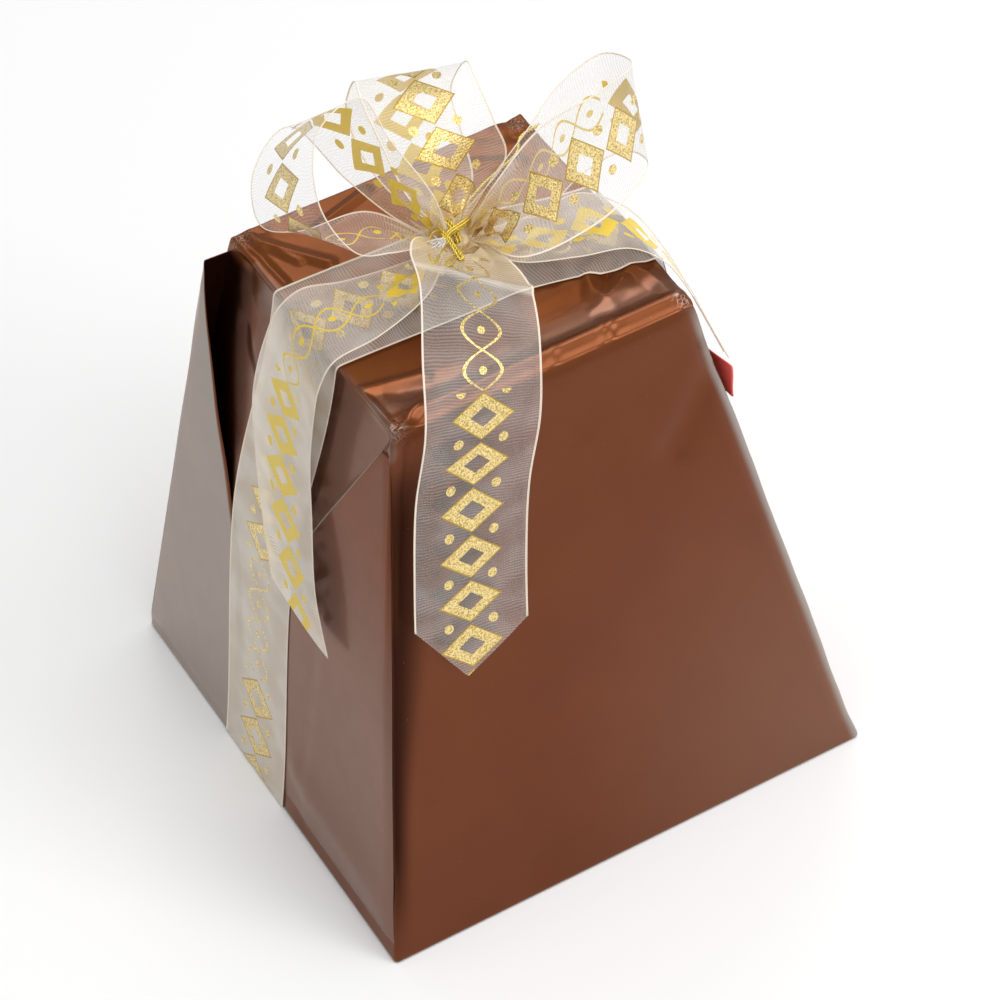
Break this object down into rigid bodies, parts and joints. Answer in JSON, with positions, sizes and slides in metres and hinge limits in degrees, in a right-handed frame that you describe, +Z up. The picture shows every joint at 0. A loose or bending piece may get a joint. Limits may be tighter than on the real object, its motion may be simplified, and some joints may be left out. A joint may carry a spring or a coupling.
{
  "type": "gift-wrapped pandoro",
  "caption": "Tall sweet bread in a truncated-pyramid gift pack: satin film wrap, sheer ribbon band and bow, gold cord tie and a red tag.",
  "frame": {"origin": "centre of the pack's square base, on the surface it stands on", "axes": "+Z up, the ribbon band runs round the pack in the X-Z plane, the smooth front face looks to -Y"},
  "size_m": [0.2226, 0.2186, 0.3198],
  "materials": {
    "film": "brown satin metallised film",
    "ribbon": "sheer woven organza with gold foil print",
    "gold_cord": "twisted metallic thread",
    "tag": "smooth printed card"
  },
  "bodies": {
    "root": {"wrapped_pack": "film", "ribbon_band": "ribbon", "bow_loop_left": "ribbon", "bow_loop_centre": "ribbon", "bow_loop_right": "ribbon", "bow_tail_front": "ribbon", "bow_tail_left": "ribbon", "bow_tail_rear": "ribbon", "bow_knot": "ribbon", "gold_cord_tie": "gold_cord", "gold_cord_end": "gold_cord", "red_tag": "tag"}
  },
  "joints": []
}
